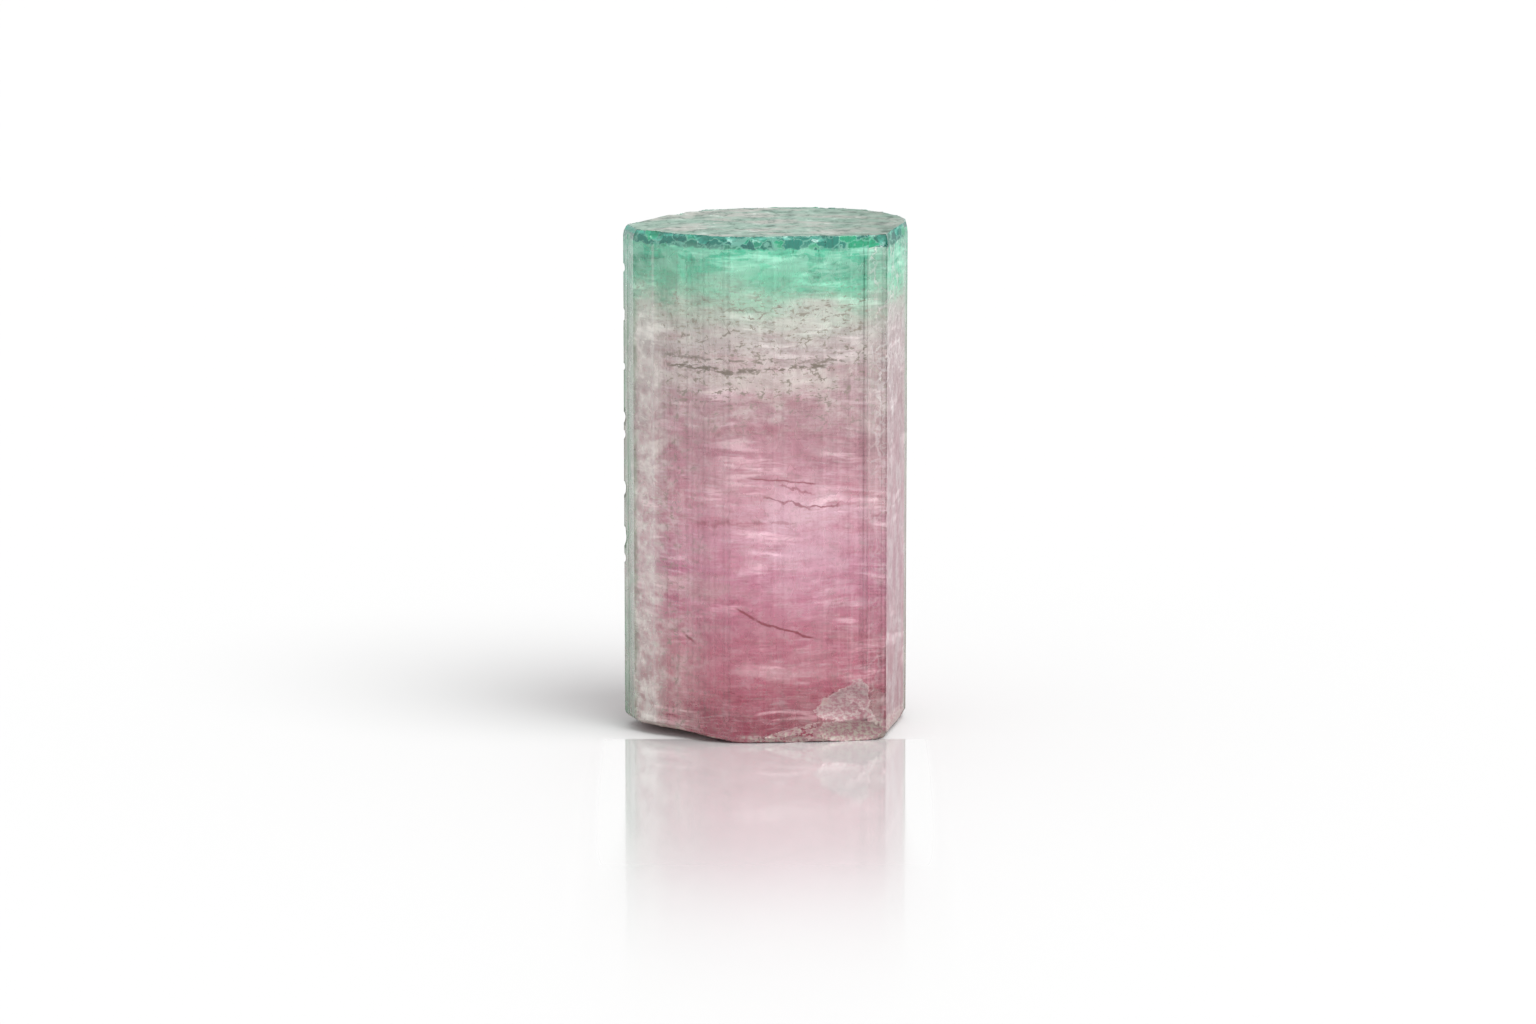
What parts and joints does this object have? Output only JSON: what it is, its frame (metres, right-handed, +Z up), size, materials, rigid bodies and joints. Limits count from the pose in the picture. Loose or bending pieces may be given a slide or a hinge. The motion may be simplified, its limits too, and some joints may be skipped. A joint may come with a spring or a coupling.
{
  "type": "bicolor tourmaline crystal",
  "caption": "Standing natural tourmaline prism, deep rose at the broken base and green at the flat top, with striated sides and chipped edges.",
  "frame": {"origin": "middle of the flat broken base, on the surface that the crystal stands on", "axes": "+Z up the crystal's c axis to the green end, -Y towards the viewer out of the broad front face, +X to the viewer's right"},
  "size_m": [0.0142, 0.0116, 0.0255],
  "materials": {
    "tourmaline": "cloudy see-through crystal, green at the top through pale grey-white to deep rose at the base, with glossy striated sides and frosted ends"
  },
  "bodies": {
    "root": {"tourmaline_crystal": "tourmaline"}
  },
  "joints": []
}
